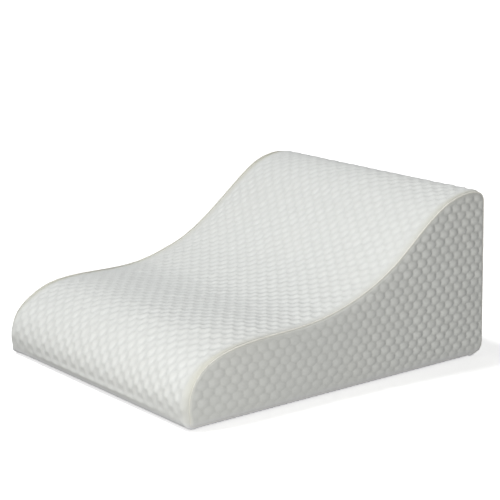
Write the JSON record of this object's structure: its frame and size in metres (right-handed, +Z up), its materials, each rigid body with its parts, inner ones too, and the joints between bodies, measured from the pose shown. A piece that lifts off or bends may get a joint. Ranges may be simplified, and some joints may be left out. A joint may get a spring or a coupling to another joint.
{
  "type": "wedge pillow",
  "caption": "Contoured foam wedge pillow with a low nose, a shallow dip, a curved ramp and a rounded shoulder, in a bubble-knit cover.",
  "frame": {"origin": "middle of the bounding box, on the surface that the pillow lies on", "axes": "+X along the length from the low nose to the high back, +Y to the left side, +Z up"},
  "size_m": [0.616, 0.4896, 0.279],
  "materials": {
    "bubble_knit": "matt white knit with small raised bubbles",
    "plain_bottom_cloth": "matt plain grey-white knit"
  },
  "bodies": {
    "root": {"filled_body": "bubble_knit", "side_panel_right": "bubble_knit", "side_panel_left": "bubble_knit", "bottom_panel": "plain_bottom_cloth"}
  },
  "joints": []
}
